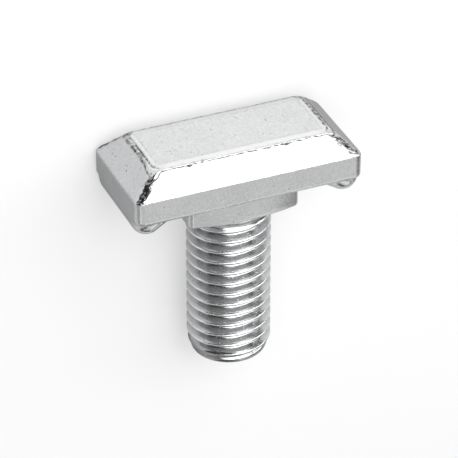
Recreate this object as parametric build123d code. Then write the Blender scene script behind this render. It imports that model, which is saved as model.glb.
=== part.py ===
from build123d import *
import math
import os

# A drop-forged T-head bolt for C-shaped channel and T-slot rail, all in one piece. It is modelled upright about
# its own axis, with the underside of the head at height 0, and then laid on its side as it comes to rest.

# Shank, M12 coarse thread; the thread itself is a fine feature of the surface, cut from this diameter
thread_diameter = 12.0
shank_length = 28.4
tip_diameter = 10.5
tip_taper_length = 2.0
tip_edge_chamfer = 0.3

# Head
head_length = 33.8
head_width = 16.4
wall_height = 3.85
slope_height = 3.3
end_slope_run = 3.5
side_slope_run = 2.85
wall_corner_radius = 1.2
plateau_corner_radius = 2.3
plateau_edge_radius = 1.8
wall_top_edge_radius = 0.6
wall_bottom_edge_radius = 0.8

# Lips across both ends of the underside, which hook over the turned-in edges of the channel
lip_width = 6.3
lip_depth = 2.2
lip_nose_radius = 2.2
lip_end_inset = 0.3
lip_end_radius = 1.9
lip_overlap = 1.2

# Collar that keeps the bolt from turning in the slot; its long sides bulge
collar_length = 16.5
collar_end_width = 11.7
collar_middle_width = 13.8
collar_thickness = 3.6
collar_edge_chamfer = 0.35
collar_corner_radius = 1.0

head_height = wall_height + slope_height
plateau_length = head_length - 2 * end_slope_run
plateau_width = head_width - 2 * side_slope_run


def head_body():
    """The block of the head: upright walls, four slopes and a flat plateau, with rounded edges."""
    outline = RectangleRounded(head_length, head_width, wall_corner_radius)
    top = RectangleRounded(plateau_length, plateau_width, plateau_corner_radius)
    wall = extrude(outline, wall_height)
    slopes = loft([Pos(0, 0, wall_height) * outline, Pos(0, 0, head_height) * top], ruled=True)
    body = wall + slopes
    body = fillet(edges_at(body, Axis.Z, head_height), plateau_edge_radius)
    body = fillet(edges_at(body, Axis.Z, wall_height), wall_top_edge_radius)
    return fillet(edges_at(body, Axis.Z, 0), wall_bottom_edge_radius)


def edges_at(shape, axis, position):
    """The edges of a shape that lie flat across an axis, at one position along it."""
    return shape.edges().filter_by_position(axis, position - 0.001, position + 0.001)


def lip_section():
    """The lip at the right end, cut along the head: a straight inner flank into a round nose under the end wall."""
    end = head_length / 2
    start = (end - lip_width, 0)
    nose = (end - lip_nose_radius, lip_nose_radius - lip_depth)
    reach = math.hypot(nose[0] - start[0], nose[1] - start[1])
    flank_length = math.sqrt(reach ** 2 - lip_nose_radius ** 2)
    fall = math.asin(lip_nose_radius / reach) + math.atan2(start[1] - nose[1], nose[0] - start[0])
    touch = (start[0] + flank_length * math.cos(fall), start[1] - flank_length * math.sin(fall))
    turn = 90 + math.degrees(fall)
    arc = CenterArc(nose, lip_nose_radius, -turn, turn)
    rest = Polyline((end, nose[1]), (end, lip_overlap), (start[0], lip_overlap), start)
    return make_face(Line(start, touch) + arc + rest)


def lip():
    """The lip at the right end, with a ball-like rounding at both of its own ends."""
    half = head_width / 2 - lip_end_inset
    body = extrude(Plane.XZ * lip_section(), half, both=True)
    back_rim = edges_at(body, Axis.Y, half).sort_by(Axis.Z)
    front_rim = edges_at(body, Axis.Y, -half).sort_by(Axis.Z)
    # the three lowest edges of each rim are the nose, the flank and the end wall
    return fillet(back_rim[:3] + front_rim[:3], lip_end_radius)


def collar():
    """The collar under the head: flat ends and gently bulging sides."""
    x = collar_length / 2
    y = collar_end_width / 2
    crown = collar_middle_width / 2
    front = ThreePointArc((-x, -y), (0, -crown), (x, -y))
    back = ThreePointArc((x, y), (0, crown), (-x, y))
    outline = make_face(front + Line((x, -y), (x, y)) + back + Line((-x, y), (-x, -y)))
    body = extrude(outline, -collar_thickness)
    body = fillet(body.edges().filter_by(Axis.Z), collar_corner_radius)
    return chamfer(edges_at(body, Axis.Z, -collar_thickness), collar_edge_chamfer)


def shank():
    """The round shank, with its tapered tip."""
    radius = thread_diameter / 2
    taper_top = tip_taper_length - shank_length
    profile = Polyline(
        (0, 0),
        (radius, 0),
        (radius, taper_top),
        (tip_diameter / 2, -shank_length),
        (0, -shank_length),
        (0, 0),
    )
    body = revolve(Plane.XZ * make_face(profile), Axis.Z)
    return chamfer(edges_at(body, Axis.Z, -shank_length), tip_edge_chamfer)


def rest_tilt():
    """The angle in degrees between the bolt's axis and the floor, when the head's edge and the shank both touch."""
    edge = head_width / 2 - wall_bottom_edge_radius
    drop = edge - thread_diameter / 2
    run = wall_bottom_edge_radius + shank_length - tip_taper_length
    reach = math.hypot(drop, run)
    return math.degrees(math.atan2(drop, run) + math.asin(wall_bottom_edge_radius / reach))


def laid_down(body):
    """The bolt on its side: head along X, shank towards -Y, lowest points on the floor, middle over the origin."""
    turned = Rot(rest_tilt() - 90, 0, 0) * body
    box = turned.bounding_box()
    return Pos(0, -box.center().Y, -box.min.Z) * turned


right_lip = lip()
left_lip = Rot(0, 0, 180) * right_lip
bolt = head_body() + right_lip + left_lip + collar() + shank()
bolt = laid_down(bolt)

os.makedirs("parts", exist_ok=True)
export_step(bolt, "parts/t_bolt.step")
print("solids", len(bolt.solids()), "volume mm3", round(bolt.volume, 1), "box", bolt.bounding_box())
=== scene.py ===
"""A bright zinc-plated hammer-head bolt for channel and T-slot rail, lying on its side on a pale floor."""

from __future__ import annotations

import logging
import math
from dataclasses import dataclass, field
from enum import Enum
from typing import Any

import bmesh
import bpy
import numpy as np
from mathutils import Matrix, Vector, noise

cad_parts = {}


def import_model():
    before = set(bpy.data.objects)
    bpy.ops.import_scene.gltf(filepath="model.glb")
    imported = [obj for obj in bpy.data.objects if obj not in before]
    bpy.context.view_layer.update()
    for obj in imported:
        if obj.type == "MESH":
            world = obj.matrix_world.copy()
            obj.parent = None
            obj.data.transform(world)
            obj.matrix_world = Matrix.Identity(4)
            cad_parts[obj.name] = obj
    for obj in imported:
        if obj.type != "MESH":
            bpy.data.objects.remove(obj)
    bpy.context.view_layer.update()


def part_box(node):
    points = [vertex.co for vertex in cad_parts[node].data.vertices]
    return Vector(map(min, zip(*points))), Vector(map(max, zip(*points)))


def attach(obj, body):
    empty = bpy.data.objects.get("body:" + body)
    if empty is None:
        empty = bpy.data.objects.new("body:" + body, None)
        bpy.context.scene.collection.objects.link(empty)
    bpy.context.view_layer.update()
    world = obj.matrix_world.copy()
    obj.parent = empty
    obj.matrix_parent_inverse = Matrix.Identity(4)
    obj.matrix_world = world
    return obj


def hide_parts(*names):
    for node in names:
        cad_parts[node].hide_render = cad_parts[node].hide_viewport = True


LOG = logging.getLogger("t_bolt")

MM = 0.001
NODE = "t_bolt"
BODY = "root"
PAINTED_SHADE = "painted_shade"
RIM_HIGHLIGHT = "rim_highlight"
Colour = tuple[float, float, float]


class Blend(Enum):
    """How a second colour acts on a first."""

    MIX = "MIX"
    MULTIPLY = "MULTIPLY"


class Surface(Enum):
    """The two ways in which the bolt's surface was made, by the number of the finish on the mesh."""

    FORGED = 0
    ROLLED = 1


# ---- Shader maths ----


class Wire:
    """A shader socket that takes part in Python expressions on values."""

    def __init__(self, graph: Graph, socket: bpy.types.NodeSocket | None) -> None:
        """Keep the graph and the socket.

        Args:
            graph: The node graph that the socket belongs to.
            socket: The output socket to wrap, or nothing where a node has none.
        """
        self.graph = graph
        self.socket = socket

    def _math(
        self, operation: str, first: Wire | float, second: Wire | float = 0.0, clamp: bool = False
    ) -> Wire:
        """Add one Math node.

        Args:
            operation: The node's operation.
            first: Its first value.
            second: Its second value, which an operation on one value leaves unread.
            clamp: Whether the result is kept within 0 to 1.

        Returns:
            The node's result.
        """
        settings = {"operation": operation, "use_clamp": clamp}
        return self.graph.add("ShaderNodeMath", settings, {0: first, 1: second})

    def __add__(self, other: Wire | float) -> Wire:
        """Sum."""
        return self._math("ADD", self, other)

    def __radd__(self, other: Wire | float) -> Wire:
        """Sum, from the right."""
        return self._math("ADD", other, self)

    def __sub__(self, other: Wire | float) -> Wire:
        """Difference."""
        return self._math("SUBTRACT", self, other)

    def __rsub__(self, other: Wire | float) -> Wire:
        """Difference, from the right."""
        return self._math("SUBTRACT", other, self)

    def __mul__(self, other: Wire | float) -> Wire:
        """Product."""
        return self._math("MULTIPLY", self, other)

    def __rmul__(self, other: Wire | float) -> Wire:
        """Product, from the right."""
        return self._math("MULTIPLY", other, self)

    def magnitude(self) -> Wire:
        """The value without its sign."""
        return self._math("ABSOLUTE", self)

    def clamped(self) -> Wire:
        """The value, kept within 0 to 1."""
        return self._math("ADD", self, 0.0, clamp=True)

    def largest(self, other: Wire | float) -> Wire:
        """The larger of this value and another."""
        return self._math("MAXIMUM", self, other)


class Graph:
    """The node graph of one material or of the world."""

    def __init__(self, tree: bpy.types.NodeTree) -> None:
        """Start with an empty tree.

        Args:
            tree: The node tree to fill.
        """
        self.tree = tree
        tree.nodes.clear()

    def add(self, kind: str, settings: dict[str, Any], inputs: dict[Any, Any], output: int | str = 0) -> Wire:
        """Add a node of any type.

        Args:
            kind: The node's type.
            settings: Its properties, set first.
            inputs: Socket names or numbers, each with a value or a Wire.
            output: The output socket to return.

        Returns:
            The chosen output.
        """
        node = self.tree.nodes.new(kind)
        for name, value in settings.items():
            setattr(node, name, value)
        for name, value in inputs.items():
            if isinstance(value, Wire):
                self.tree.links.new(value.socket, node.inputs[name])
            else:
                node.inputs[name].default_value = value
        return Wire(self, node.outputs[output] if node.outputs else None)

    def mix_colour(
        self, factor: Wire, first: Wire | Colour, second: Colour, blend: Blend = Blend.MIX
    ) -> Wire:
        """Blend a second colour into a first.

        Args:
            factor: The share of the second colour.
            first: The first colour.
            second: The second colour.
            blend: How the second colour acts on the first.

        Returns:
            The blended colour.
        """
        # Of the node's many sockets, those for colours are the inputs 6 and 7 and the output 2.
        settings = {"data_type": "RGBA", "blend_type": blend.value}
        base = first if isinstance(first, Wire) else opaque(first)
        return self.add("ShaderNodeMix", settings, {0: factor, 6: base, 7: opaque(second)}, 2)


def opaque(colour: Colour) -> tuple[float, float, float, float]:
    """A colour with full alpha, as sockets take it."""
    return (*colour, 1.0)


# ---- Finishes ----


@dataclass(frozen=True)
class Pattern:
    """The patterns that a finish is mixed from, each from 0 to 1."""

    cloud: Wire
    grain: Wire
    pits: Wire
    painted_shade: Wire
    rim_highlight: Wire
    endwise: Wire


@dataclass(frozen=True)
class Zinc:
    """Bright zinc plating over steel.

    Scales are per metre, and the grain's height is in millimetres.
    """

    name: str
    colour: Colour
    shade: Colour
    roughness: float
    roughness_spread: float
    grain_scale: float
    grain_height: float
    pit_share: float
    groove: Colour
    groove_bias: float
    end_shade_strength: float
    end_shade: Colour = (0.36, 0.365, 0.37)
    edge_tint: Colour = (0.48, 0.48, 0.48)
    # Pits
    pit_shade: Colour = (0.2, 0.2, 0.2)
    pit_scale: float = 2600.0
    pit_steepness: float = 14.0
    pit_darkness: float = 0.5
    pit_roughness: float = 0.2
    pit_octaves: float = 1.0
    # Clouds and grain
    cloud_scale: float = 260.0
    cloud_octaves: float = 3.0
    cloud_tone: float = 0.5
    cloud_relief: float = 0.3
    grain_octaves: float = 4.0
    grain_tone: float = 1.4
    grain_relief: float = 0.7
    tone_offset: float = 0.45
    octave_share: float = 0.55
    # The painted highlight on the rim, and painted shade in creases and grooves
    highlight_white: Colour = (0.93, 0.93, 0.93)
    highlight_least: float = 0.55
    highlight_spread: float = 0.6
    painted_shade_spread: float = 2.4
    painted_shade_offset: float = 0.25

    def material(self) -> bpy.types.Material:
        """Make the finish.

        Returns:
            The new material.
        """
        material = bpy.data.materials.new(self.name)
        material.use_nodes = True
        graph = Graph(material.node_tree)
        pattern = self._pattern(graph)
        rough = (pattern.cloud - 0.5) * self.roughness_spread + self.roughness
        rough = rough + pattern.pits * self.pit_roughness
        relief = pattern.grain * self.grain_relief + pattern.cloud * self.cloud_relief - pattern.pits
        bump_inputs = {"Strength": 1.0, "Distance": self.grain_height * MM, "Height": relief}
        surface_inputs = {
            "Base Color": self._colour(graph, pattern),
            "Metallic": 1.0,
            "Roughness": rough.clamped(),
            "Specular Tint": opaque(self.edge_tint),
            "Normal": graph.add("ShaderNodeBump", {}, bump_inputs),
        }
        surface = graph.add("ShaderNodeBsdfPrincipled", {}, surface_inputs)
        graph.add("ShaderNodeOutputMaterial", {}, {"Surface": surface})
        return material

    def _pattern(self, graph: Graph) -> Pattern:
        """Add the textures and read what the mesh stores.

        Args:
            graph: The graph to add them to.

        Returns:
            The patterns.
        """
        place = graph.add("ShaderNodeTexCoord", {}, {}, "Object")
        facing = graph.add("ShaderNodeTexCoord", {}, {}, "Normal")
        speck = self._noise(graph, place, self.pit_scale, self.pit_octaves)
        return Pattern(
            cloud=self._noise(graph, place, self.cloud_scale, self.cloud_octaves),
            grain=self._noise(graph, place, self.grain_scale, self.grain_octaves),
            pits=((speck - (1.0 - self.pit_share)) * self.pit_steepness).clamped(),
            painted_shade=graph.add("ShaderNodeAttribute", {"attribute_name": PAINTED_SHADE}, {}, "Fac"),
            rim_highlight=graph.add("ShaderNodeAttribute", {"attribute_name": RIM_HIGHLIGHT}, {}, "Fac"),
            endwise=graph.add("ShaderNodeSeparateXYZ", {}, {"Vector": facing}, "X").magnitude(),
        )

    def _colour(self, graph: Graph, pattern: Pattern) -> Wire:
        """Mix the colour: mottled zinc, pits, a painted highlight on the rim, painted shade in creases and
        grooves, and painted shade on the ends.

        Args:
            graph: The graph to add the nodes to.
            pattern: The patterns.

        Returns:
            The colour.
        """
        tone = pattern.cloud * self.cloud_tone + pattern.grain * self.grain_tone - self.tone_offset
        colour = graph.mix_colour(tone.clamped(), self.shade, self.colour)
        colour = graph.mix_colour(pattern.pits * self.pit_darkness, colour, self.pit_shade)
        # Painted highlight: the plateau's rim along the front and the ends is lightened towards
        # highlight_white.
        highlight = pattern.rim_highlight * (pattern.cloud * self.highlight_spread + self.highlight_least)
        colour = graph.mix_colour(highlight, colour, self.highlight_white)
        # Painted shade: darkens towards the groove colour where the mesh marks the crease, hip bands, rim
        # lines and thread grooves.
        shade_mix = (pattern.painted_shade * (pattern.grain * self.painted_shade_spread - self.painted_shade_offset)).clamped()
        colour = graph.mix_colour(shade_mix, colour, self.groove)
        # Painted shade: faces turned along the head's length (its ends and end slopes, the thread's sides)
        # are darkened, on the thread mostly in its grooves.
        reach = pattern.painted_shade * self.groove_bias + (1.0 - self.groove_bias)
        end_shading = (pattern.endwise * self.end_shade_strength * reach).clamped()
        return graph.mix_colour(end_shading, colour, self.end_shade, Blend.MULTIPLY)

    def _noise(self, graph: Graph, place: Wire, scale: float, octaves: float) -> Wire:
        """Add a noise texture in object space.

        Args:
            graph: The graph to add it to.
            place: Where on the object it is read.
            scale: Its scale, per metre.
            octaves: How many octaves it has beyond the first.

        Returns:
            The noise, from 0 to 1.
        """
        inputs = {"Vector": place, "Scale": scale, "Detail": octaves, "Roughness": self.octave_share}
        return graph.add("ShaderNodeTexNoise", {}, inputs)


FORGED = Zinc(
    name="forged_zinc",
    colour=(0.90, 0.905, 0.91),
    shade=(0.66, 0.665, 0.67),
    roughness=0.20,
    roughness_spread=0.10,
    grain_scale=3200.0,
    grain_height=0.030,
    pit_share=0.30,
    groove=(0.06, 0.06, 0.06),
    groove_bias=0.0,
    end_shade_strength=0.60,
)
ROLLED = Zinc(
    name="rolled_zinc",
    colour=(0.92, 0.925, 0.93),
    shade=(0.72, 0.725, 0.73),
    roughness=0.21,
    roughness_spread=0.14,
    grain_scale=4200.0,
    grain_height=0.016,
    pit_share=0.31,
    groove=(0.62, 0.625, 0.63),
    groove_bias=0.9,
    end_shade_strength=1.0,
)
FINISHES = {Surface.FORGED: FORGED, Surface.ROLLED: ROLLED}


# ---- Stations and sections ----


@dataclass(frozen=True)
class Stations:
    """Places round the bolt's axis, closer together where the lips and the corners need them."""

    corner_steps: int = 12
    end_steps: tuple[int, int] = (33, 11)
    long_steps: tuple[int, int] = (70, 27)
    end_edge_share: float = 0.24
    long_edge_share: float = 0.38

    @staticmethod
    def _spread(steps: tuple[int, int], edge_share: float) -> np.ndarray:
        """Fractions from -1 to 1 along a side, without its two ends.

        Args:
            steps: How many steps the middle has, and each edge.
            edge_share: The share of a half side that the closer steps cover.

        Returns:
            The fractions in order.
        """
        middle, edge = steps
        inner = 1.0 - edge_share
        first = np.linspace(-1.0, -inner, edge + 1)[1:]
        second = np.linspace(-inner, inner, middle + 1)[1:]
        third = np.linspace(inner, 1.0, edge + 1)[1:-1]
        return np.concatenate([first, second, third])

    def table(self) -> np.ndarray:
        """List every station, anticlockwise seen from the head, from the right end's front corner.

        Returns:
            Rows of (share of half length, share of half width, angle of the outward normal).
        """
        ends = self._spread(self.end_steps, self.end_edge_share)
        sides = self._spread(self.long_steps, self.long_edge_share)
        turn = np.linspace(0.0, math.pi / 2, self.corner_steps + 1)
        rows: list[tuple[float, float, float]] = []
        rows += [(1.0, f, 0.0) for f in ends]
        rows += [(1.0, 1.0, a) for a in turn]
        rows += [(-f, 1.0, math.pi / 2) for f in sides]
        rows += [(-1.0, 1.0, a + math.pi / 2) for a in turn]
        rows += [(-1.0, -f, math.pi) for f in ends]
        rows += [(-1.0, -1.0, a + math.pi) for a in turn]
        rows += [(f, -1.0, 1.5 * math.pi) for f in sides]
        rows += [(1.0, -1.0, a + 1.5 * math.pi) for a in turn]
        return np.array(rows)


def rounded_rectangle(table: np.ndarray, length: float, width: float, radius: float) -> np.ndarray:
    """Points of a rounded rectangle at every station.

    Args:
        table: The stations.
        length: Its size along X.
        width: Its size along Y.
        radius: Its corner radius.

    Returns:
        One point (x, y) per station.
    """
    x = (length / 2 - radius) * table[:, 0] + radius * np.cos(table[:, 2])
    y = (width / 2 - radius) * table[:, 1] + radius * np.sin(table[:, 2])
    return np.stack([x, y], axis=1)


def inside_depth(points: np.ndarray, length: float, width: float, radius: float) -> np.ndarray:
    """How far points lie inside a rounded rectangle.

    Args:
        points: Points (x, y).
        length: The rectangle's size along X.
        width: Its size along Y.
        radius: Its corner radius.

    Returns:
        The distance of each point from the outline, positive inside.
    """
    over = np.abs(points) - np.array([length / 2 - radius, width / 2 - radius])
    outside = np.linalg.norm(np.maximum(over, 0.0), axis=-1)
    inside = np.minimum(over.max(axis=-1), 0.0)
    return radius - outside - inside


def rounded_path(points: list[tuple[float, float]], radii: list[float], steps: int) -> np.ndarray:
    """A polyline whose inner corners are rounded by arcs.

    Args:
        points: The corners, ends included.
        radii: One radius for each inner corner.
        steps: How many steps each arc has.

    Returns:
        The points of the path.
    """
    path = [np.array(points[0])]
    for before, corner, after, radius in zip(points, points[1:], points[2:], radii):
        middle = np.array(corner)
        back = np.array(before) - middle
        ahead = np.array(after) - middle
        back /= np.linalg.norm(back)
        ahead /= np.linalg.norm(ahead)
        half = math.acos(float(np.clip(back @ ahead, -1.0, 1.0))) / 2
        reach = radius / math.tan(half)
        centre = middle + (back + ahead) / np.linalg.norm(back + ahead) * radius / math.sin(half)
        start = middle + back * reach - centre
        end = middle + ahead * reach - centre
        turn = math.pi - 2 * half
        for step in range(steps + 1):
            share = step / steps
            arm = (math.sin((1 - share) * turn) * start + math.sin(share * turn) * end) / math.sin(turn)
            path.append(centre + arm)
    path.append(np.array(points[-1]))
    return np.array(path)


def smooth_step(value: np.ndarray, low: float, high: float) -> np.ndarray:
    """Go smoothly from 0 at low to 1 at high, which may be the smaller of the two."""
    share = np.clip((value - low) / (high - low), 0.0, 1.0)
    return share * share * (3 - 2 * share)


def soft_lower(first: np.ndarray, second: np.ndarray, blend: float) -> np.ndarray:
    """The lower of two heights, with a rounded valley where they meet.

    Args:
        first: One height.
        second: The other height.
        blend: How far the rounding reaches.

    Returns:
        The blended height.
    """
    share = np.clip(0.5 + 0.5 * (second - first) / blend, 0.0, 1.0)
    return second * (1 - share) + first * share - blend * share * (1 - share)


def ragged(spot: Vector, finer: float, share: float) -> float:
    """Noise at a spot, with a share of noise that is finer by a factor."""
    return noise.noise(spot) + share * noise.noise(spot * finer)


# ---- The bolt's parts, in millimetres, upright, with the underside of the head at height 0 ----


@dataclass
class Lip:
    """The lip under each end of the head."""

    width: float = 6.3
    depth: float = 2.2
    nose_radius: float = 2.2
    end_inset: float = 0.3
    end_radius: float = 2.15
    root_blend: float = 0.6
    nowhere: float = 9.0

    def height(self, points: np.ndarray, head_length: float, head_width: float) -> np.ndarray:
        """The lip's lower surface over plan points.

        Args:
            points: Points (x, y).
            head_length: The head's size along X.
            head_width: The head's size along Y.

        Returns:
            The height of the surface, and a large one outside the lip.
        """
        x = np.abs(points[..., 0])
        room = head_width / 2 - self.end_inset - np.abs(points[..., 1])
        bite = np.clip(self.end_radius - room, 0.0, self.end_radius)
        inset = self.end_radius - np.sqrt(self.end_radius**2 - bite**2)
        centre_x = head_length / 2 - self.nose_radius
        centre_z = self.nose_radius - self.depth
        start_x = head_length / 2 - self.width
        reach = math.hypot(centre_x - start_x, centre_z)
        fall = math.asin(self.nose_radius / reach) + math.atan2(-centre_z, centre_x - start_x)
        radius = np.maximum(self.nose_radius - inset, 0.0)
        arc = centre_z - np.sqrt(np.maximum(radius**2 - (x - centre_x) ** 2, 0.0))
        flank = -(x - start_x) * math.tan(fall) + inset / math.cos(fall)
        touch = centre_x - radius * math.sin(fall)
        lower = np.where(x > touch, arc, flank)
        return np.where((x > centre_x + radius) | (room < 0), self.nowhere, lower)


@dataclass
class Head:
    """The forged block: upright walls, four slopes and a flat plateau."""

    length: float = 33.8
    width: float = 16.4
    wall_height: float = 3.85
    slope_height: float = 3.3
    plateau_length: float = 26.8
    plateau_width: float = 10.7
    # Corners in plan, and edges
    wall_corner_radius: float = 1.2
    wall_top_edge_radius: float = 0.6
    wall_bottom_edge_radius: float = 0.8
    plateau_edge_radius: float = 1.8
    crease_corner_radius: float = 1.3
    crease_radius: float = 0.3
    # The rim of the plateau, which falls to the crease and falls most near the corners
    rim_width: float = 1.15
    rim_inner_radius: float = 1.9
    rim_drop: float = 0.16
    rim_corner_drop: float = 0.95
    rim_corner_reach: tuple[float, float] = (0.7, 1.7)
    right_corner_share: float = 0.4
    back_corner_share: float = 0.12
    # How finely each stretch of a section is divided
    crease_zone: float = 0.5
    wall_steps: int = 8
    arc_steps: int = 8
    slope_steps: int = 18
    zone_steps: int = 12
    shoulder_steps: int = 4
    shoulder_share: float = 0.75
    rim_shares: tuple[float, ...] = (0.69, 0.63, 0.57, 0.51, 0.45, 0.3, 0.15, 0.11, 0.08, 0.05, 0.025, 0.0)
    flat_shares: tuple[float, ...] = (0.01, 0.02, 0.035, 0.06, 0.3, 0.6, 1.0)
    lip: Lip = field(default_factory=Lip)

    @property
    def height(self) -> float:
        """The height of the plateau."""
        return self.wall_height + self.slope_height

    def outline(self, table: np.ndarray) -> np.ndarray:
        """The plan outline of the walls at every station."""
        return rounded_rectangle(table, self.length, self.width, self.wall_corner_radius)

    def underside(self, points: np.ndarray) -> np.ndarray:
        """The height of the underside over plan points, lips included.

        Args:
            points: Points (x, y).

        Returns:
            One height for each point.
        """
        radius = self.wall_bottom_edge_radius
        depth = inside_depth(points, self.length, self.width, self.wall_corner_radius)
        bite = np.clip(radius - depth, 0.0, radius)
        base = radius - np.sqrt(radius**2 - bite**2)
        lip = self.lip.height(points, self.length, self.width)
        return soft_lower(base, lip, self.lip.root_blend)

    def rings(self, table: np.ndarray) -> list[np.ndarray]:
        """The rings from the middle of the plateau down to the foot of the walls.

        Args:
            table: The stations.

        Returns:
            Rings of (x, y, z) points.
        """
        wall = self.outline(table)
        plateau = rounded_rectangle(
            table, self.plateau_length, self.plateau_width, self.crease_corner_radius
        )
        inner_length = self.plateau_length - 2 * self.rim_width
        inner_width = self.plateau_width - 2 * self.rim_width
        inner = rounded_rectangle(table, inner_length, inner_width, self.rim_inner_radius)
        middle = self.plateau_width / 2 - self.rim_width
        spine = np.sign(inner) * np.maximum(np.abs(inner) - middle, 0.0)
        share = np.abs(np.sin(table[:, 2]))
        run = (self.length - self.plateau_length) / 2 * (1 - share)
        run = run + (self.width - self.plateau_width) / 2 * share
        foot = self.underside(wall)
        columns = np.array([self._section(r, f, d) for r, f, d in zip(run, foot, self._drop(plateau))])
        rings = []
        for inset, height in zip(columns[:, :, 0].T[::-1], columns[:, :, 1].T[::-1]):
            on_slope = np.clip(inset / run, 0.0, 1.0)[:, None]
            on_rim = np.clip((inset - run) / self.rim_width, 0.0, 1.0)[:, None]
            on_flat = np.clip((inset - run - self.rim_width) / middle, 0.0, 1.0)[:, None]
            plan = wall + (plateau - wall) * on_slope + (inner - plateau) * on_rim
            plan = plan + (spine - inner) * on_flat
            rings.append(np.column_stack([plan, height]))
        return rings

    def _drop(self, plateau: np.ndarray) -> np.ndarray:
        """How far the crease lies below the plateau: more at the four corners.

        Args:
            plateau: The plateau's outline, one point per station.

        Returns:
            The drop at every station.
        """
        return self.rim_drop + self.rim_corner_drop * self.corner_share(plateau)

    def corner_share(self, place: np.ndarray) -> np.ndarray:
        """How far the crease sinks near a corner of the plateau: most at the left front one.

        Args:
            place: Points (x, y).

        Returns:
            One share for each point, 0 far from the corners.
        """
        corner = np.array([self.plateau_length / 2, self.plateau_width / 2])
        away = np.linalg.norm((np.abs(place) - corner) / np.array(self.rim_corner_reach), axis=-1)
        front = np.where(place[..., 0] > 0, self.right_corner_share, 1.0)
        return np.exp(-(away**2)) * np.where(place[..., 1] > 0, self.back_corner_share, front)

    def _section(self, run: float, foot: float, drop: float) -> np.ndarray:
        """One upright section of the head, from the foot of the wall to the middle of the plateau.

        Args:
            run: How far the slope runs inwards.
            foot: The height of the foot of the wall.
            drop: How far the crease lies below the plateau.

        Returns:
            Points (distance inwards, height).
        """
        top = self.height
        crease = np.array([run * (1 - drop / self.slope_height), top - drop])
        rim_end = run + self.rim_width
        across = rim_end - crease[0]
        shoulder = (rim_end - across * self.shoulder_share, top - drop * self.shoulder_share**2)
        corners = [(0.0, foot), (0.0, self.wall_height), tuple(crease), shoulder]
        path = rounded_path(corners, [self.wall_top_edge_radius, self.crease_radius], self.arc_steps)
        slope_start, slope_end = path[self.arc_steps + 1], path[self.arc_steps + 2]
        reach = np.linalg.norm(slope_end - slope_start)
        knee = slope_end + (slope_start - slope_end) * self.crease_zone / reach
        path = np.insert(path, self.arc_steps + 2, knee, axis=0)
        arc = [1] * self.arc_steps
        counts = [self.wall_steps, *arc, self.slope_steps, self.zone_steps, *arc, self.shoulder_steps]
        pieces = []
        for start, end, count in zip(path, path[1:], counts):
            pieces += [start + (end - start) * step / count for step in range(count)]
        shares = (self.shoulder_share, *self.rim_shares)
        rim = [(rim_end - across * share, top - drop * share**2) for share in shares]
        left = run + self.plateau_width / 2 - rim_end
        flat = [(rim_end + left * share, top) for share in self.flat_shares]
        return np.array([*pieces, *rim, *flat])

    def rim_place(self, points: np.ndarray) -> np.ndarray:
        """How far plan points lie inside the plateau's outer edge, as a share of the rim's width."""
        depth = inside_depth(points, self.plateau_length, self.plateau_width, self.crease_corner_radius)
        return depth / self.rim_width


@dataclass
class Collar:
    """The block under the head that keeps the bolt from turning in the slot."""

    length: float = 16.5
    end_width: float = 11.7
    middle_width: float = 13.8
    thickness: float = 3.6
    edge_radius: float = 0.4
    corner_radius: float = 1.0
    root_radius: float = 0.3
    # How finely it is divided
    root_steps: int = 4
    side_steps: int = 6
    edge_steps: int = 5

    def outline(self, table: np.ndarray, grow: float = 0.0) -> np.ndarray:
        """The plan outline at every station: flat ends and bulging sides.

        Args:
            table: The stations.
            grow: How far the outline is moved outwards.

        Returns:
            One point (x, y) per station.
        """
        half = self.length / 2
        bulge = (self.middle_width - self.end_width) / 2
        sweep = (half**2 + bulge**2) / (2 * bulge)
        hub = self.middle_width / 2 - sweep
        radius = self.corner_radius
        corner_x = half - radius
        corner_y = hub + math.sqrt((sweep - radius) ** 2 - corner_x**2)
        lean = math.acos(corner_x / (sweep - radius))
        quarter = np.arctan2(np.abs(np.sin(table[:, 2])), np.abs(np.cos(table[:, 2])))
        angle = quarter * lean / (math.pi / 2)
        sign = np.sign(table[:, :2])
        share = np.abs(table[:, :2])
        on_side = share[:, 0] < 1.0
        side_x = share[:, 0] * (corner_x + radius * math.cos(lean))
        side_y = hub + np.sqrt(sweep**2 - side_x**2)
        normal_x = np.where(on_side, side_x / sweep, np.cos(angle))
        normal_y = np.where(on_side, (side_y - hub) / sweep, np.sin(angle))
        x = np.where(on_side, side_x, corner_x + radius * np.cos(angle)) + grow * normal_x
        y = np.where(on_side, side_y, corner_y * share[:, 1] + radius * np.sin(angle)) + grow * normal_y
        return np.stack([x * sign[:, 0], y * sign[:, 1]], axis=1)


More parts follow.
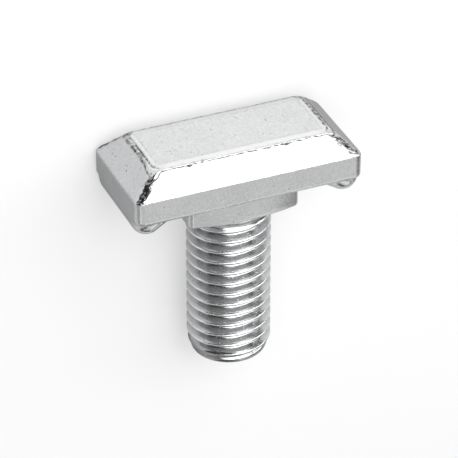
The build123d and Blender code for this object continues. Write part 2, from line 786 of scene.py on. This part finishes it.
@dataclass
class Shank:
    """The rolled right-handed thread and its tapered tip."""

    diameter: float = 12.0
    pitch: float = 1.75
    length: float = 28.4
    depth: float = 1.07
    tip_diameter: float = 10.5
    tip_taper: float = 2.0
    tip_edge: float = 0.52
    # The thread: where one crest passes, its form, and where it runs out at the top and the tip
    crest_height: float = -7.4
    crest_bearing: float = math.radians(-112.98)
    crest_flat: float = 1 / 8
    flank_slope: float = math.sqrt(3)
    root_blend: float = 0.22
    fade_start: float = -3.9
    fade_end: float = -6.6
    tip_fade: tuple[float, float] = (0.2, 1.6)
    # Depths below the crest where the painted shade of the grooves is full and where it ends
    groove_shade_depths: tuple[float, float] = (0.16, 0.01)
    # Rows of the mesh from a crest to the middle of the groove, and rings of the tip
    row_offsets: tuple[float, ...] = (0.0, 0.09, 0.16, 0.42, 0.66, 0.78)
    edge_steps: int = 5
    end_shares: tuple[float, ...] = (0.75, 0.5, 0.25, 0.0)

    def radius(self, angle: np.ndarray, height: np.ndarray) -> np.ndarray:
        """The radius of the threaded surface.

        Args:
            angle: The angle round the axis.
            height: The height along it.

        Returns:
            The radius at each place.
        """
        crest = self.crest_height + self.pitch * (angle - self.crest_bearing) / (2 * math.pi)
        offset = np.abs((height - crest + self.pitch / 2) % self.pitch - self.pitch / 2)
        flank = (offset - self.pitch * self.crest_flat / 2) * self.flank_slope
        groove = soft_lower(flank, np.full_like(flank, self.depth), self.root_blend)
        groove = np.maximum(groove, 0.0)
        full = smooth_step(-height, -self.fade_start, -self.fade_end)
        tip = -self.length
        ending = smooth_step(height, tip + self.tip_fade[0], tip + self.tip_fade[1])
        thread = self.diameter / 2 - groove * full * ending
        cone = self.tip_diameter / 2 + (height - tip) * self._taper()
        return np.minimum(thread, cone)

    def _taper(self) -> float:
        """How fast the tip widens with height."""
        return (self.diameter - self.tip_diameter) / 2 / self.tip_taper

    def heights(self, bearing: float, top: float, bottom: float) -> np.ndarray:
        """Heights of the helical rows at the first station, from above the top down past the bottom.

        Args:
            bearing: The angle of the first station.
            top: The height where the shank starts.
            bottom: The height where the tip's rounded edge starts.

        Returns:
            The heights in falling order.
        """
        steps = np.array(self.row_offsets)
        turn = np.concatenate([steps, [self.pitch / 2], -steps[:0:-1] + self.pitch])
        crest = self.crest_height + self.pitch * (bearing - self.crest_bearing) / (2 * math.pi)
        first = math.ceil((top - crest) / self.pitch) + 1
        last = math.floor((bottom - crest) / self.pitch) - 2
        rows = [crest + count * self.pitch - turn for count in range(first, last, -1)]
        return np.concatenate(rows)


@dataclass
class ForgingMarks:
    """What the die and the trimming left on the head: a crease with nicks, wrinkled hips and waves; also
    painted shade along the crease, hips and rim lines, and a painted highlight on the rim.
    """

    # The crease round the plateau, just under its edge
    crease_offset: float = 0.08
    crease_wobble: float = 0.05
    crease_depth: float = 0.07
    crease_width: float = 0.095
    crease_mean: float = 0.8
    crease_least: float = 0.15
    crease_grains: tuple[float, float, float] = (0.9, 0.3, 0.5)
    crease_fine_share: float = 0.6
    end_burr: float = 0.6
    end_burr_reach: float = 0.6
    # Nicks in the front stretch of the crease
    nicks: tuple[float, ...] = (-8.16, 6.26)
    nick_depth: float = 0.12
    nick_width: float = 0.28
    nick_fall: float = 0.15
    # The wrinkled hips between the slopes, with a band of painted shade along each
    hip_depth: float = 0.10
    hip_reach: float = 1.5
    hip_reach_on_end: float = 0.35
    hip_core: float = 0.75
    hip_wobble: float = 0.5
    hip_wobble_grain: float = 0.5
    hip_top: float = 6.2
    hip_grain: float = 0.42
    hip_finer: float = 2.1
    hip_finer_share: float = 0.6
    # Bright flecks in the painted shade, of one size on the hips and another on the rim's lines
    fleck_grain: float = 0.22
    line_grain: float = 0.5
    fleck_mean: float = 0.72
    fleck_spread: float = 2.2
    # Broad, shallow waves all over the head
    wave_depth: float = 0.012
    wave_length: float = 2.4
    wave_finer: float = 2.3
    wave_finer_share: float = 0.5
    # The painted highlight on the rim; its fades are shares of its width
    rim_lift: float = 1.0
    rim_wobble: float = 0.12
    rim_wobble_grain: float = 0.4
    rim_outer_fade: tuple[float, float] = (-0.06, 0.02)
    rim_inner_fade: tuple[float, float] = (0.55, 1.05)
    # The faint line round the flat, inside the rim
    rim_line_depth: float = 0.03
    rim_line_width: float = 0.035
    rim_line_grain: float = 0.7
    rim_line_mean: float = 0.75
    rim_line_spread: float = 0.9
    rim_line_layer: float = 2.0
    # The painted dark lines on the rim, placed by shares of its width
    end_line_place: float = 0.30
    end_line_width: float = 0.11
    back_line_fade: tuple[float, float] = (0.04, 0.14)
    # The depth of cut whose painted shade is full, and the slack in telling which points belong to what
    full_shade: float = 0.11
    margin: float = 0.1
    head: Head = field(default_factory=Head)

    def press_into(self, mesh: bpy.types.Mesh) -> None:
        """Move the points of the head along their normals, and mark where shade and a highlight are painted.

        Args:
            mesh: The upright bolt, in metres.
        """
        places = [vertex.co / MM for vertex in mesh.vertices]
        normals = [vertex.normal.copy() for vertex in mesh.vertices]
        foot = -self.head.lip.depth - self.margin
        waves = [self._wave(p) if p.z > foot else 0.0 for p in places]
        cuts = [self._cut(p) if p.z > self.head.wall_height else 0.0 for p in places]
        moved = [p - n * (wave + cut) for p, n, wave, cut in zip(places, normals, waves, cuts)]
        mesh.vertices.foreach_set("co", (np.array(moved) * MM).ravel())
        hips = [self._hip_share(p) * self._flecks(p, self.fleck_grain) for p in places]
        # Painted shade: darker where the crease, the hips' wrinkles and the rim's line cut deeper, on the hip
        # bands, and on the rim's lines.
        shade = np.array(cuts) / self.full_shade + np.array(hips) + self._edge_share(np.array(places))
        self._mark(mesh, PAINTED_SHADE, np.clip(shade, 0.0, 1.0))
        # Painted highlight on the plateau's rim.
        self._mark(mesh, RIM_HIGHLIGHT, self._rim_highlight_share(np.array(places)))
        mesh.update()

    @staticmethod
    def _mark(mesh: bpy.types.Mesh, name: str, values: np.ndarray) -> None:
        """Store one value for each point of the mesh, for the finish to read."""
        mesh.attributes.new(name, "FLOAT", "POINT").data.foreach_set("value", values.tolist())

    def _cut(self, place: Vector) -> float:
        """How deep the crease, the wrinkles of the hips and the rim's line are at a place above the walls."""
        return self._crease(place) + self._hip(place) + self._rim_line(place)

    def _rim_highlight_share(self, places: np.ndarray) -> np.ndarray:
        """How far each point belongs to the painted highlight on the rim along the front and the ends.

        Args:
            places: Points (x, y, z).

        Returns:
            One share for each point, from 0 to 1.
        """
        spots = [Vector((x, y, 0.0)) / self.rim_wobble_grain for x, y in places[:, :2]]
        share = self.head.rim_place(places[:, :2])
        share = share + np.array([self.rim_wobble * noise.noise(spot) for spot in spots])
        inside = smooth_step(share, *self.rim_outer_fade) * (1.0 - smooth_step(share, *self.rim_inner_fade))
        inside = inside * (places[:, 1] < self.head.plateau_width / 2 - self.head.rim_width)
        return inside * (places[:, 2] > self.head.wall_height + self.rim_lift)

    def _flecks(self, place: Vector, grain: float) -> float:
        """How strong the painted shade is at a place: mostly full, with bright flecks."""
        return min(1.0, max(0.0, self.fleck_mean + self.fleck_spread * noise.noise(place / grain)))

    def _edge_share(self, places: np.ndarray) -> np.ndarray:
        """Painted shade lines on the rim itself: one along each end, and one at the very edge of the back.

        Args:
            places: Points (x, y, z).

        Returns:
            How dark the lines are at each point, from 0 to 1.
        """
        head = self.head
        share = head.rim_place(places[:, :2])
        on_top = places[:, 2] > head.height - head.rim_drop - self.margin / 2
        at_end = np.abs(places[:, 0]) > head.plateau_length / 2 - head.rim_width
        at_back = places[:, 1] > head.plateau_width / 2 - head.rim_width / 2
        ragged = np.array([self._flecks(Vector(tuple(place)), self.line_grain) for place in places])
        line = np.exp(-(((share - self.end_line_place) / self.end_line_width) ** 2))
        brink = 1.0 - smooth_step(share, *self.back_line_fade)
        return on_top * ragged * np.maximum(line * at_end, brink * at_back)

    def _rim_line(self, place: Vector) -> float:
        """The depth of the faint line round the flat of the plateau, inside the rim.

        Args:
            place: A place of the head above the walls.

        Returns:
            The depth.
        """
        share = float(self.head.rim_place(np.array([place.x, place.y])))
        across = math.exp(-(((share - 1.0) / self.rim_line_width) ** 2))
        spot = Vector((place.x, place.y, self.rim_line_layer)) / self.rim_line_grain
        strength = self.rim_line_mean + self.rim_line_spread * noise.noise(spot)
        return self.rim_line_depth * max(strength, 0.0) * across

    def _wave(self, place: Vector) -> float:
        """The depth of the forging's broad, shallow waves at a place of the head."""
        wave = ragged(place / self.wave_length, self.wave_finer, self.wave_finer_share)
        return self.wave_depth * (1.0 + wave)

    def _crease(self, place: Vector) -> float:
        """The depth of the crease that runs round the plateau just under its edge, with its nicks.

        Args:
            place: A place of the head above the walls.

        Returns:
            The depth.
        """
        head = self.head
        broad, fine, patch = (Vector((place.x, place.y, 0.0)) / grain for grain in self.crease_grains)
        line = head.height - head.rim_drop - self.crease_offset
        line -= head.rim_corner_drop * float(head.corner_share(np.array([place.x, place.y])))
        line += self.crease_wobble * (noise.noise(broad) + self.crease_fine_share * noise.noise(fine))
        nick = 0.0
        if place.y < 0 and abs(place.x) < head.plateau_length / 2:
            for x in self.nicks:
                near = math.exp(-(((place.x - x) / self.nick_width) ** 2))
                line -= self.nick_fall * near
                nick += self.nick_depth * near
        strength = max(self.crease_mean + noise.noise(patch), self.crease_least)
        end = 1.0 + self.end_burr * (abs(place.x) > head.plateau_length / 2 - self.end_burr_reach)
        across = math.exp(-(((place.z - line) / (self.crease_width * end)) ** 2))
        return across * (self.crease_depth * end * strength + nick)

    def _hip_share(self, place: Vector) -> float:
        """How far a place belongs to the wrinkled band, painted dark, along one of the four hips between the
        slopes.

        Args:
            place: Any place of the bolt.

        Returns:
            The share, from 0 to 1.
        """
        head = self.head
        if not head.wall_height - self.margin < place.z < self.hip_top:
            return 0.0
        share = (place.z - head.wall_height) / head.slope_height
        half_x = head.length / 2 + (head.plateau_length - head.length) / 2 * share
        half_y = head.width / 2 + (head.plateau_width - head.width) / 2 * share
        off = (half_x - abs(place.x)) - (half_y - abs(place.y))
        reach = self.hip_reach if off > 0 else self.hip_reach * self.hip_reach_on_end
        away = abs(off) + self.hip_wobble * noise.noise(place / self.hip_wobble_grain)
        return float(smooth_step(np.array(away), reach, reach * self.hip_core))

    def _hip(self, place: Vector) -> float:
        """The depth of the fine wrinkles on the four hips between the slopes."""
        rough = ragged(place / self.hip_grain, self.hip_finer, self.hip_finer_share)
        return self.hip_depth * self._hip_share(place) * rough


# ---- The whole bolt ----


@dataclass
class TBolt:
    """The bolt, in one closed mesh."""

    head: Head = field(default_factory=Head)
    collar: Collar = field(default_factory=Collar)
    shank: Shank = field(default_factory=Shank)
    stations: Stations = field(default_factory=Stations)
    marks: ForgingMarks = field(default_factory=ForgingMarks)
    # How far the rings under the collar stop from the shank
    ledge: float = 0.15
    ledge_steps: int = 4
    # The rings of the underside, which crowd towards the walls
    underside_steps: int = 36
    underside_crowding: float = 1.5
    thread_margin: float = 0.01
    weld_distance: float = 0.002
    shortest_edge: float = 0.0005

    def rest_tilt(self) -> float:
        """Work out how the bolt comes to rest, on the edge of the head and the end of the shank.

        Returns:
            The angle between its axis and the floor.
        """
        edge = self.head.width / 2 - self.head.wall_bottom_edge_radius
        drop = edge - self.shank.diameter / 2
        run = self.head.wall_bottom_edge_radius + self.shank.length - self.shank.tip_taper
        reach = math.hypot(drop, run)
        return math.atan2(drop, run) + math.asin(self.head.wall_bottom_edge_radius / reach)

    def placement(self) -> Matrix:
        """Work out how the upright bolt is laid down.

        Returns:
            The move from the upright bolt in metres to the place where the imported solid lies.
        """
        head, shank, tilt = self.head, self.shank, self.rest_tilt()
        rise = shank.diameter / 2 * math.cos(tilt) + (shank.length - shank.tip_taper) * math.sin(tilt)
        pitch = math.atan2(head.slope_height, (head.width - head.plateau_width) / 2)
        edge = head.plateau_edge_radius
        centre_y = head.plateau_width / 2 - edge * math.tan(pitch / 2)
        crown = centre_y * math.sin(tilt) + (head.height - edge) * math.cos(tilt) + edge
        shift = Vector((0.0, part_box(NODE)[1].y - crown * MM, rise * MM))
        return Matrix.Translation(shift) @ Matrix.Rotation(tilt - math.pi / 2, 4, "X")

    def build(self) -> bpy.types.Object:
        """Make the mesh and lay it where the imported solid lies.

        Returns:
            The new object.
        """
        table = self.stations.table()
        collar = self.collar.outline(table)
        root = self.collar.outline(table, self.collar.root_radius)
        bearing = np.unwrap(np.arctan2(collar[:, 1], collar[:, 0]))
        rings = self.head.rings(table)
        rings += self._underside_rings(self.head.outline(table), root)
        rings += self._collar_rings(table)
        rings += self._step_rings(table, bearing)
        vertices, faces, surfaces = self._weave(np.array(rings), bearing)
        mesh = bpy.data.meshes.new(NODE + "_plated")
        mesh.from_pydata((vertices * MM).tolist(), [], faces)
        for surface in Surface:
            mesh.materials.append(FINISHES[surface].material())
        mesh.polygons.foreach_set("material_index", [surface.value for surface in surfaces])
        self._clean(mesh)
        self.marks.press_into(mesh)
        self._shade_grooves(mesh)
        mesh.transform(self.placement())
        piece = bpy.data.objects.new("plated_bolt", mesh)
        bpy.context.scene.collection.objects.link(piece)
        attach(piece, BODY)
        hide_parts(NODE)
        return piece

    def _underside_rings(self, outer: np.ndarray, inner: np.ndarray) -> list[np.ndarray]:
        """The rings across the underside, from the foot of the walls to the collar.

        Args:
            outer: The outline of the walls.
            inner: The outline of the collar's rounded root.

        Returns:
            Rings of (x, y, z) points.
        """
        rings = []
        for step in range(1, self.underside_steps + 1):
            share = (step / self.underside_steps) ** self.underside_crowding
            plan = outer + (inner - outer) * share
            rings.append(np.column_stack([plan, self.head.underside(plan)]))
        return rings

    def _collar_rings(self, table: np.ndarray) -> list[np.ndarray]:
        """The rings down the collar's sides and round its lower edge.

        Args:
            table: The stations.

        Returns:
            Rings of (x, y, z) points.
        """
        collar = self.collar
        root = collar.root_radius
        edge = collar.edge_radius
        foot = -collar.thickness
        rings = []
        for step in range(1, collar.root_steps + 1):
            angle = step / collar.root_steps * math.pi / 2
            plan = collar.outline(table, root * (1 - math.sin(angle)))
            rings.append(self._flat(plan, -root * (1 - math.cos(angle))))
        for step in range(1, collar.side_steps + 1):
            height = -root + (foot + edge + root) * step / collar.side_steps
            rings.append(self._flat(collar.outline(table), height))
        for step in range(1, collar.edge_steps + 1):
            angle = step / collar.edge_steps * math.pi / 2
            plan = collar.outline(table, -edge * (1 - math.cos(angle)))
            rings.append(self._flat(plan, foot + edge * (1 - math.sin(angle))))
        return rings

    def _step_rings(self, table: np.ndarray, bearing: np.ndarray) -> list[np.ndarray]:
        """The rings across the flat face under the collar, in to the shank.

        Args:
            table: The stations.
            bearing: The angle of each station round the axis.

        Returns:
            Rings of (x, y, z) points.
        """
        count = self.ledge_steps
        height = -self.collar.thickness
        outer = self.collar.outline(table, -self.collar.edge_radius)
        inner = np.stack([np.cos(bearing), np.sin(bearing)], axis=1) * (self.shank.diameter / 2 + self.ledge)
        return [self._flat(outer + (inner - outer) * step / count, height) for step in range(1, count + 1)]

    @staticmethod
    def _flat(plan: np.ndarray, height: float) -> np.ndarray:
        """A ring at one height."""
        return np.column_stack([plan, np.full(len(plan), height)])

    def _weave(
        self, shell: np.ndarray, bearing: np.ndarray
    ) -> tuple[np.ndarray, list[tuple[int, ...]], list[Surface]]:
        """Join the rings, the helical rows of the thread and the tip.

        Args:
            shell: The rings of the head and the collar.
            bearing: The angle of each station.

        Returns:
            The points, the faces, and how the surface of each face was made.
        """
        rows = self._thread_rows(bearing)
        shell_faces = self._shell_faces(shell.shape[0], shell.shape[1])
        shell_faces += self._seam_faces(shell.shape[0], shell.shape[1], rows.shape[1])
        row_faces = self._row_faces(shell.size // 3, rows.shape[0], rows.shape[1])
        surfaces = [Surface.FORGED] * len(shell_faces) + [Surface.ROLLED] * len(row_faces)
        points = np.concatenate([shell.reshape(-1, 3), rows.reshape(-1, 3)])
        return points, shell_faces + row_faces, surfaces

    def _thread_rows(self, bearing: np.ndarray) -> np.ndarray:
        """The helical rows of the thread and the rings of the tip, on every second station.

        Args:
            bearing: The angle of each station.

        Returns:
            Rows of (x, y, z) points, each closed by its first point again.
        """
        top = -self.collar.thickness
        bottom = -self.shank.length + self.shank.tip_edge
        closed = np.append(bearing[::2], bearing[0] + 2 * math.pi)
        lift = self.shank.pitch * (closed - bearing[0]) / (2 * math.pi)
        heights = self.shank.heights(bearing[0], top, bottom)
        z = np.clip(heights[:, None] + lift[None, :], bottom, top)
        r = self.shank.radius(np.broadcast_to(closed, z.shape), z)
        thread = np.stack([r * np.cos(closed), r * np.sin(closed), z], axis=2)
        return np.concatenate([thread, self._tip_rings(closed, bottom)])

    @staticmethod
    def _shell_faces(ring_count: int, count: int) -> list[tuple[int, ...]]:
        """The faces between the rings of the head and the collar.

        Args:
            ring_count: How many rings there are.
            count: How many points a ring has.

        Returns:
            The faces.
        """
        faces: list[tuple[int, ...]] = []
        for row in range(ring_count - 1):
            for i in range(count):
                j = (i + 1) % count
                faces.append((row * count + i, (row + 1) * count + i, (row + 1) * count + j, row * count + j))
        return faces

    @staticmethod
    def _seam_faces(ring_count: int, count: int, wide: int) -> list[tuple[int, ...]]:
        """The faces between the last ring and the first row of the thread, which has half as many points.

        Args:
            ring_count: How many rings there are.
            count: How many points a ring has.
            wide: How many points a row has.

        Returns:
            The faces.
        """
        last = (ring_count - 1) * count
        base = ring_count * count
        faces: list[tuple[int, ...]] = []
        for i in range(wide - 1):
            first, middle, final = last + 2 * i, last + 2 * i + 1, last + (2 * i + 2) % count
            faces.append((first, base + i, middle))
            faces.append((middle, base + i, base + i + 1))
            faces.append((middle, base + i + 1, final))
        return faces

    @staticmethod
    def _row_faces(base: int, row_count: int, wide: int) -> list[tuple[int, ...]]:
        """The faces between the rows of the thread and the tip.

        Args:
            base: The number of the first row's first point.
            row_count: How many rows there are.
            wide: How many points a row has.

        Returns:
            The faces.
        """
        starts = [base + row * wide + i for row in range(row_count - 1) for i in range(wide - 1)]
        return [(start, start + wide, start + wide + 1, start + 1) for start in starts]

    def _tip_rings(self, closed: np.ndarray, bottom: float) -> np.ndarray:
        """The rounded edge and the flat end of the tip.

        Args:
            closed: The angles of the stations, with the first one again at the end.
            bottom: The height where the rounded edge starts.

        Returns:
            Rings of (x, y, z) points.
        """
        start = self.shank.radius(closed, np.full_like(closed, bottom))
        edge = self.shank.tip_edge
        circle = np.stack([np.cos(closed), np.sin(closed)], axis=1)
        rings = []
        for step in range(1, self.shank.edge_steps + 1):
            angle = step / self.shank.edge_steps * math.pi / 2
            radius = start - edge * (1 - math.cos(angle))
            rings.append(self._flat(circle * radius[:, None], bottom - edge * math.sin(angle)))
        for share in self.shank.end_shares:
            radius = (start - edge) * share
            rings.append(self._flat(circle * radius[:, None], bottom - edge))
        return np.array(rings)

    def _shade_grooves(self, mesh: bpy.types.Mesh) -> None:
        """Paint shade on the flanks and roots of the thread, so that they are darker than its crests.

        Args:
            mesh: The upright bolt, in metres.
        """
        places = np.array([tuple(vertex.co) for vertex in mesh.vertices]) / MM
        shank = self.shank
        crest = shank.diameter / 2
        dark, bright = shank.groove_shade_depths
        below = places[:, 2] < -self.collar.thickness - self.thread_margin
        radius = np.hypot(places[:, 0], places[:, 1])
        deep = 1.0 - smooth_step(radius, crest - dark, crest - bright)
        full = smooth_step(-places[:, 2], -shank.fade_start, -shank.fade_end)
        painted_shade = mesh.attributes[PAINTED_SHADE].data
        values = np.array([item.value for item in painted_shade])
        # Painted shade in the thread's grooves, below the crest.
        painted_shade.foreach_set("value", np.where(below, deep * full, values).tolist())

    def _clean(self, mesh: bpy.types.Mesh) -> None:
        """Weld the seams, turn the faces outwards and round the shading.

        Args:
            mesh: The bolt's mesh, in metres.
        """
        work = bmesh.new()
        work.from_mesh(mesh)
        bmesh.ops.remove_doubles(work, verts=work.verts, dist=self.weld_distance * MM)
        bmesh.ops.dissolve_degenerate(work, dist=self.shortest_edge * MM, edges=work.edges)
        bmesh.ops.recalc_face_normals(work, faces=work.faces)
        open_edges = sum(1 for edge in work.edges if len(edge.link_faces) != 2)
        LOG.info("bolt mesh: %d faces, %d open or shared edges", len(work.faces), open_edges)
        for face in work.faces:
            face.smooth = True
        work.to_mesh(mesh)
        work.free()


# ---- The studio ----


@dataclass(frozen=True)
class Lamp:
    """One square soft lamp that faces the bolt, with its distance and size in metres."""

    name: str
    direction: tuple[float, float, float]
    distance: float
    size: float
    radiance: float

    def build(self) -> None:
        """Make the lamp."""
        data = bpy.data.lights.new(self.name, "AREA")
        data.shape = "SQUARE"
        data.size = self.size
        data.energy = self.radiance * math.pi * self.size * self.size
        lamp = bpy.data.objects.new(self.name, data)
        direction = Vector(self.direction)
        lamp.location = direction.normalized() * self.distance
        lamp.rotation_euler = direction.to_track_quat("Z", "Y").to_euler()
        bpy.context.scene.collection.objects.link(lamp)


LAMPS = (
    Lamp("key", (0.36, 0.60, 0.76), distance=0.3, size=0.30, radiance=2.3),
    Lamp("overhead", (-0.2, 0.30, 0.93), distance=0.4, size=0.30, radiance=3.4),
    Lamp("top", (0.0, -0.55, 0.83), distance=0.35, size=0.52, radiance=0.58),
    Lamp("side", (-0.81, -0.48, 0.36), distance=0.35, size=0.34, radiance=0.48),
    Lamp("low", (0.58, -0.79, 0.22), distance=0.35, size=0.30, radiance=0.34),
    Lamp("right", (0.88, 0.30, 0.36), distance=0.35, size=0.20, radiance=2.4),
)


@dataclass
class Studio:
    """The floor, the lamps, the world and the camera.

    The floor's size is in metres, and the camera's lengths are in millimetres.
    """

    floor_size: float = 1.6
    floor_lift: float = 0.42
    floor_grey: Colour = (0.8, 0.8, 0.8)
    white: Colour = (1.0, 1.0, 1.0)
    room_grey: Colour = (0.8, 0.8, 0.8)
    room_strength: float = 0.08
    camera_distance: float = 444.9
    camera_pitch: float = math.radians(33.10)
    camera_turn: float = math.radians(22.98)
    # A point on the bolt's axis, by its height, and how far the middle of the view is off it, right and up
    camera_rise: float = 1.74
    camera_aim: tuple[float, float] = (0.09, -8.97)
    camera_nearest: float = 10.0
    lens: float = 251.53
    sensor: float = 36.0

    def build(self, bolt: TBolt) -> None:
        """Make the whole studio round the bolt.

        Args:
            bolt: The bolt, whose place the camera follows.
        """
        self._floor()
        self._world()
        for lamp in LAMPS:
            lamp.build()
        self._camera(bolt)
        bpy.context.scene.view_settings.view_transform = "Standard"

    def _floor(self) -> None:
        """A plain floor that looks white and keeps the bolt's shadow."""
        half = self.floor_size / 2
        corners = [(-half, -half, 0.0), (half, -half, 0.0), (half, half, 0.0), (-half, half, 0.0)]
        mesh = bpy.data.meshes.new("floor")
        mesh.from_pydata(corners, [], [(0, 1, 2, 3)])
        mesh.materials.append(self._floor_white())
        floor = bpy.data.objects.new("floor", mesh)
        bpy.context.scene.collection.objects.link(floor)

    def _floor_white(self) -> bpy.types.Material:
        """Make the floor's finish: matt grey, lifted towards white where it is seen or mirrored.

        Returns:
            The new material.
        """
        material = bpy.data.materials.new("floor_white")
        material.use_nodes = True
        graph = Graph(material.node_tree)
        seen = graph.add("ShaderNodeLightPath", {}, {}, "Is Camera Ray")
        mirrored = graph.add("ShaderNodeLightPath", {}, {}, "Is Glossy Ray")
        through = graph.add("ShaderNodeLightPath", {}, {}, "Is Transmission Ray")
        shown = seen.largest(mirrored).largest(through)
        matt = graph.add("ShaderNodeBsdfDiffuse", {}, {"Color": opaque(self.floor_grey)})
        glow = graph.add("ShaderNodeEmission", {}, {"Color": opaque(self.white), "Strength": 1.0})
        both = graph.add("ShaderNodeMixShader", {}, {0: shown * self.floor_lift, 1: matt, 2: glow})
        graph.add("ShaderNodeOutputMaterial", {}, {"Surface": both})
        return material

    def _world(self) -> None:
        """A dim grey room."""
        world = bpy.data.worlds.new("room")
        bpy.context.scene.world = world
        world.use_nodes = True
        graph = Graph(world.node_tree)
        sky_inputs = {"Color": opaque(self.room_grey), "Strength": self.room_strength}
        sky = graph.add("ShaderNodeBackground", {}, sky_inputs)
        graph.add("ShaderNodeOutputWorld", {}, {"Surface": sky})

    def _camera(self, bolt: TBolt) -> None:
        """The camera, in front of the upright bolt and above it, carried along as the bolt lies down.

        Args:
            bolt: The bolt.
        """
        pitch, turn = self.camera_pitch, self.camera_turn
        ahead = math.cos(pitch)
        forward = Vector((math.sin(turn) * ahead, math.cos(turn) * ahead, -math.sin(pitch)))
        right = Vector((math.cos(turn), -math.sin(turn), 0.0))
        up = right.cross(forward)
        place = -forward * self.camera_distance + right * self.camera_aim[0] + up * self.camera_aim[1]
        place = (place + Vector((0.0, 0.0, self.camera_rise))) * MM
        data = bpy.data.cameras.new("camera")
        data.sensor_width = self.sensor
        data.lens = self.lens
        data.clip_start = self.camera_nearest * MM
        camera = bpy.data.objects.new("camera", data)
        frame = Matrix((right, up, -forward)).transposed().to_4x4()
        frame.translation = place
        camera.matrix_world = bolt.placement() @ frame
        bpy.context.scene.collection.objects.link(camera)
        bpy.context.scene.camera = camera


def main() -> None:
    """Build the bolt, then the studio, and log the piece's faces."""
    logging.basicConfig(level=logging.INFO, format="%(name)s: %(message)s")
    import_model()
    bolt = TBolt()
    piece = bolt.build()
    LOG.info("piece %s: %d faces", piece.name, len(piece.data.polygons))
    Studio().build(bolt)


if __name__ == "__main__":
    main()
